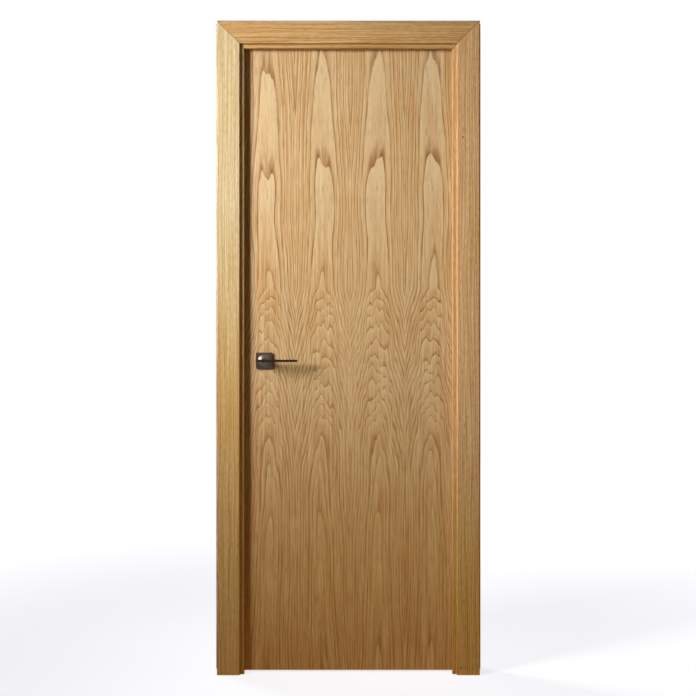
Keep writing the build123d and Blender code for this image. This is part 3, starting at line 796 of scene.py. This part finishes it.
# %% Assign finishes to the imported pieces
slot_of = {part["node"]: part["material_slot"] for part in frame["record"]["subparts"]}
plain_finish = {
    "oak_veneer": veneer, "softwood": pine, "core_board": chipboard, "seal_rubber": rubber,
    "satin_steel": satin_steel, "dark_nickel": dark_nickel,
}


def finish_of(name):
    """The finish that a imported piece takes, from its name and the slot it was given."""
    run = next((word for word in boards if f"{word}_jamb" in name or f"{word}_architrave" in name), None)
    if name.endswith("_architrave"):
        return board_oak[name.split("_")[0], run]
    if name.endswith("_jamb"):
        return board_oak["lining", run]
    if name.endswith("_lipping"):
        return board_oak["lining", name.split("_")[0]]
    if name.endswith("_lever"):
        return lever_nickel
    return plain_finish[slot_of[name]]


for name, piece in nodes.items():
    piece.material_slots[0].material = finish_of(name)
print("finished pieces:", len(nodes))

# %% [markdown]
# ## Screws
# Each hinge plate is held by four screws, and the strike and the latch plate by two. A raised countersunk head is
# a shallow dome with a cross pressed into it. It could be a ball with a cross cut out of it, but such cuts leave
# ragged meshes. So it is drawn as one height over a round grid: the dome, the rim and the cross are one formula, and
# the same grid serves every screw.

# %% Screw heads
HEAD_RADIUS = 4.2 * MM
HEAD_RISE = 0.7 * MM
CROSS_REACH = 2.3 * MM
CROSS_WIDTH = 0.9 * MM
CROSS_DEPTH = 0.55 * MM
CROSS_SOFT = 0.18 * MM
RINGS, SPOKES = 14, 48


def screw_heads(centres, normal, turns):
    """Screw heads on a face: height is a dome of the radius squared, less a cross with soft walls.

    The grid runs over the radius and the angle. Each head takes its place on the face from its centre, the face's
    normal gives its axis, and its turn in radians spins the cross.
    """
    radius = np.linspace(0.0, 1.0, RINGS + 1)[1:, None] * HEAD_RADIUS
    angle = np.linspace(0.0, 2 * np.pi, SPOKES, endpoint=False)[None, :]
    u = np.append(0.0, (radius * np.cos(angle)).ravel())
    v = np.append(0.0, (radius * np.sin(angle)).ravel())
    dome = HEAD_RISE * (1 - (u**2 + v**2) / HEAD_RADIUS**2)
    arm_u = 0.5 * (1 - np.tanh((np.abs(v) - CROSS_WIDTH / 2) / CROSS_SOFT)) * (np.abs(u) < CROSS_REACH)
    arm_v = 0.5 * (1 - np.tanh((np.abs(u) - CROSS_WIDTH / 2) / CROSS_SOFT)) * (np.abs(v) < CROSS_REACH)
    rise = dome - CROSS_DEPTH * np.maximum(arm_u, arm_v)

    turn = np.array(turns)[:, None]
    spun_u = (u * np.cos(turn) - v * np.sin(turn))[..., None]
    spun_v = (u * np.sin(turn) + v * np.cos(turn))[..., None]
    axis, up = np.array(normal, float), np.array((0.0, 0.0, 1.0))
    places = np.array(centres)[:, None, :] + spun_u * np.cross(up, axis) + spun_v * up + rise[:, None] * axis

    spoke = np.arange(SPOKES)
    after = (spoke + 1) % SPOKES
    inner = 1 + np.arange(RINGS - 1)[:, None] * SPOKES
    hub = np.stack([0 * spoke, 1 + spoke, 1 + after], axis=-1)
    bands = np.stack([inner + spoke, inner + SPOKES + spoke, inner + SPOKES + after, inner + after], axis=-1)
    start = len(u) * np.arange(len(turns))[:, None, None]
    faces = (start + hub).reshape(-1, 3).tolist() + (start + bands.reshape(-1, 4)).reshape(-1, 4).tolist()
    return places.reshape(-1, 3), faces


print("a screw head is", round(2 * HEAD_RADIUS / MM, 1), "mm wide in", RINGS * SPOKES, "faces")

# %% [markdown]
# ## Driving the screws
# The screws of a frame plate stay with the frame, and those of a leaf plate swing with the leaf, so each row of heads
# is a piece that rides on its own body. The heads sit on the faces of the plates, which the boxes of the pieces give.

# %% Hinge screws
HINGE_SCREWS = ((-38, 8), (-16, 19), (16, 8), (38, 19))  # mm above the middle of the plate, and in from its edge


def drive_screws(name, centres, normal, turns, body):
    """A row of screw heads as one new steel piece, with its shape in place, that moves with a body."""
    places, faces = screw_heads(centres, normal, turns)
    mesh = bpy.data.meshes.new(name)
    mesh.from_pydata(places.tolist(), [], faces)
    mesh.polygons.foreach_set("use_smooth", np.ones(len(mesh.polygons), bool))
    mesh.materials.append(satin_steel)
    mesh.update()
    piece = bpy.data.objects.new(name, mesh)
    scene.collection.objects.link(piece)
    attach(piece, body)
    print(len(centres), "heads:", name, "on", body)


_, lipping_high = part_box("hinge_lipping")
leaf_edge_x = lipping_high.x
for number, place_name in enumerate(("bottom", "middle", "top")):
    pin_low, pin_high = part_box(f"{place_name}_hinge_pin")
    plate_low, plate_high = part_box(f"{place_name}_hinge_frame_plate")
    middle_z = (plate_low.z + plate_high.z) / 2
    jamb_face_x = pin_low.x + pin_high.x - leaf_edge_x  # as far from the pin as the leaf's edge is
    spots = [(plate_low.y + y * MM, middle_z + z * MM) for z, y in HINGE_SCREWS]
    turns = [0.4 + 0.7 * number, 1.1, 0.2 + 0.5 * number, 0.8]
    on_frame = [(jamb_face_x, *spot) for spot in spots]
    on_leaf = [(leaf_edge_x, *spot) for spot in spots]
    drive_screws(f"{place_name}_hinge_frame_screws", on_frame, (-1, 0, 0), turns, "frame")
    drive_screws(f"{place_name}_hinge_leaf_screws", on_leaf, (1, 0, 0), turns[::-1], "door_leaf")

# %% Strike and latch screws
STRIKE_SCREWS, LATCH_SCREWS = (-30, 30), (-21, 21)  # mm above the middle of the latch plate

latch_low, latch_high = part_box("latch_plate")
_, strike_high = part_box("strike_plate")
latch_y = (latch_low.y + latch_high.y) / 2
latch_z = (latch_low.z + latch_high.z) / 2
strike_spots = [(strike_high.x, latch_y, latch_z + z * MM) for z in STRIKE_SCREWS]
latch_spots = [(latch_low.x, latch_y, latch_z + z * MM) for z in LATCH_SCREWS]
drive_screws("strike_screws", strike_spots, (1, 0, 0), (0.3, 0.9), "frame")
drive_screws("latch_plate_screws", latch_spots, (-1, 0, 0), (0.6, 0.1), "door_leaf")
